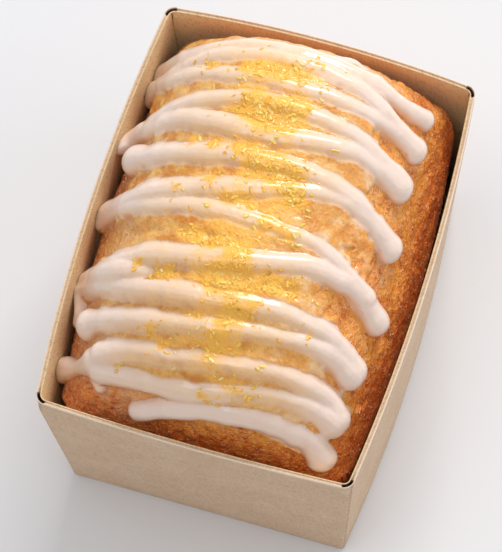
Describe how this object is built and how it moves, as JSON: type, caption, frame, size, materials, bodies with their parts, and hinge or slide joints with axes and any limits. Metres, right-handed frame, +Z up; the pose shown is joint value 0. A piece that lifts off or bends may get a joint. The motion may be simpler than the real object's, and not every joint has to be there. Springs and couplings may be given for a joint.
{
  "type": "lemon drizzle loaf cake",
  "caption": "Domed golden loaf cake with zigzag icing and lemon zest, in the tapered folded kraft-board case it was baked in.",
  "frame": {"origin": "middle of the case's flat underside, on the surface that it stands on", "axes": "+Z up, +Y along the loaf towards its steep back end, +X across the loaf to the side that the icing's round tips hang over"},
  "size_m": [0.0962, 0.1253, 0.099],
  "materials": {
    "kraft_board": "matt uncoated brown board with fine fibres",
    "baked_crust": "fine-pored orange-brown baked crust, golden and moist on top under a thin sugar glaze",
    "sugar_icing": "glossy translucent off-white sugar icing",
    "lemon_zest": "moist yellow citrus peel shreds"
  },
  "bodies": {
    "root": {"case": "kraft_board", "loaf": "baked_crust", "drizzle_1": "sugar_icing", "drizzle_2": "sugar_icing"}
  },
  "joints": []
}
